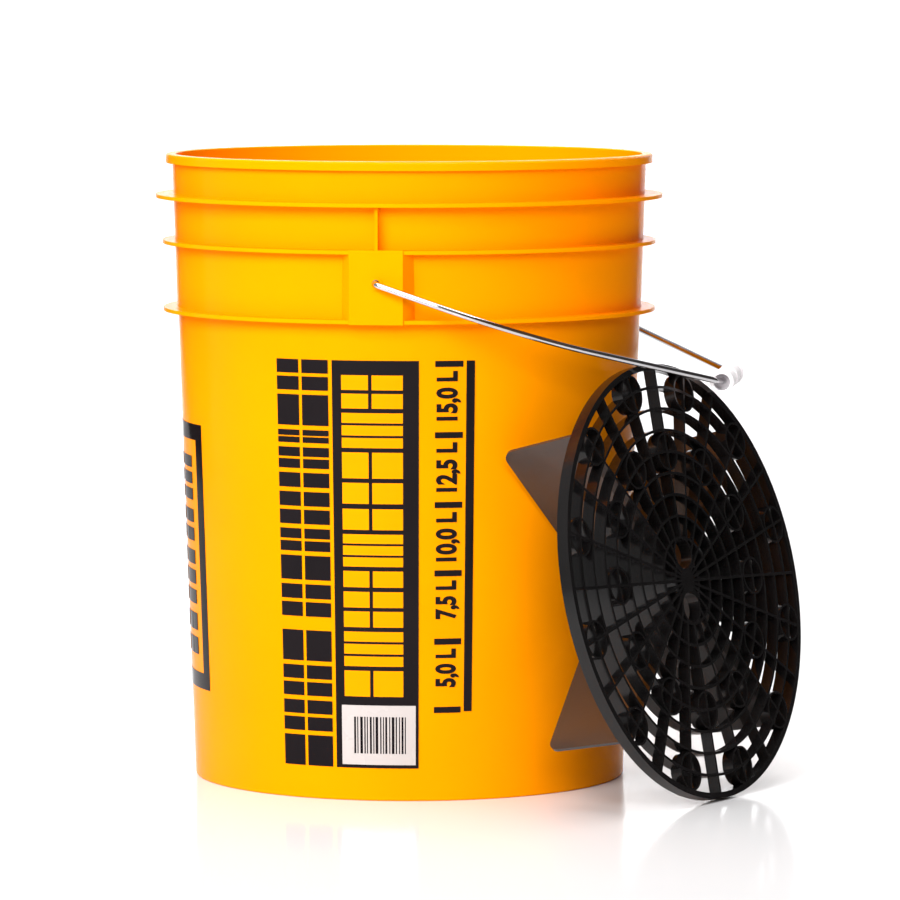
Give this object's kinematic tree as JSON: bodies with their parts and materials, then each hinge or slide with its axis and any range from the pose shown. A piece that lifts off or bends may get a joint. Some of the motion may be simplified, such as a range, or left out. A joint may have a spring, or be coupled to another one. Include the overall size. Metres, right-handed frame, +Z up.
{
  "type": "wash bucket with grit guard",
  "caption": "Tapered plastic wash bucket with stiffening flanges, a litre scale, a wire bail with a spool grip, and a loose round grit guard leaning on its side.",
  "frame": {"origin": "centre of the bucket's base on the floor", "axes": "+Z up along the bucket's axis; the bail's pivot runs along Y; +X is the side the bail lies over to"},
  "size_m": [0.4095, 0.3855, 0.395],
  "materials": {
    "bucket_yellow": "glossy moulded polypropylene",
    "print_black": "glossy ink",
    "sticker_white": "paper label with gloss",
    "bail_steel": "bright plated wire",
    "grip_white": "satin white",
    "guard_black": "glossy moulded black"
  },
  "bodies": {
    "bucket": {"bucket_shell": "bucket_yellow", "heading_print": "print_black", "panel_print": "print_black", "scale_print": "print_black", "side_print": "print_black", "barcode_sticker": "sticker_white"},
    "bail": {"bail_wire": "bail_steel"},
    "grip": {"bail_grip": "grip_white"},
    "guard": {"guard_grille": "guard_black", "guard_fin_1": "guard_black", "guard_fin_2": "guard_black", "guard_fin_3": "guard_black", "guard_fin_4": "guard_black"}
  },
  "joints": [
    {"name": "bail_swing", "type": "hinge", "parent": "bucket", "child": "bail", "pos_m": [0, 0, 0.3206], "axis": [0, -1, 0], "range_deg": [0, 242]},
    {"name": "grip_spin", "type": "hinge", "parent": "bail", "child": "grip", "pos_m": [0.20234, 0, 0.25407], "axis": [0, 1, 0], "continuous": true},
    {"name": "guard_slide", "type": "slide", "parent": "bucket", "child": "guard", "axis": [-0.2588, -0.9659, 0], "range_m": [0, 0.01]}
  ]
}
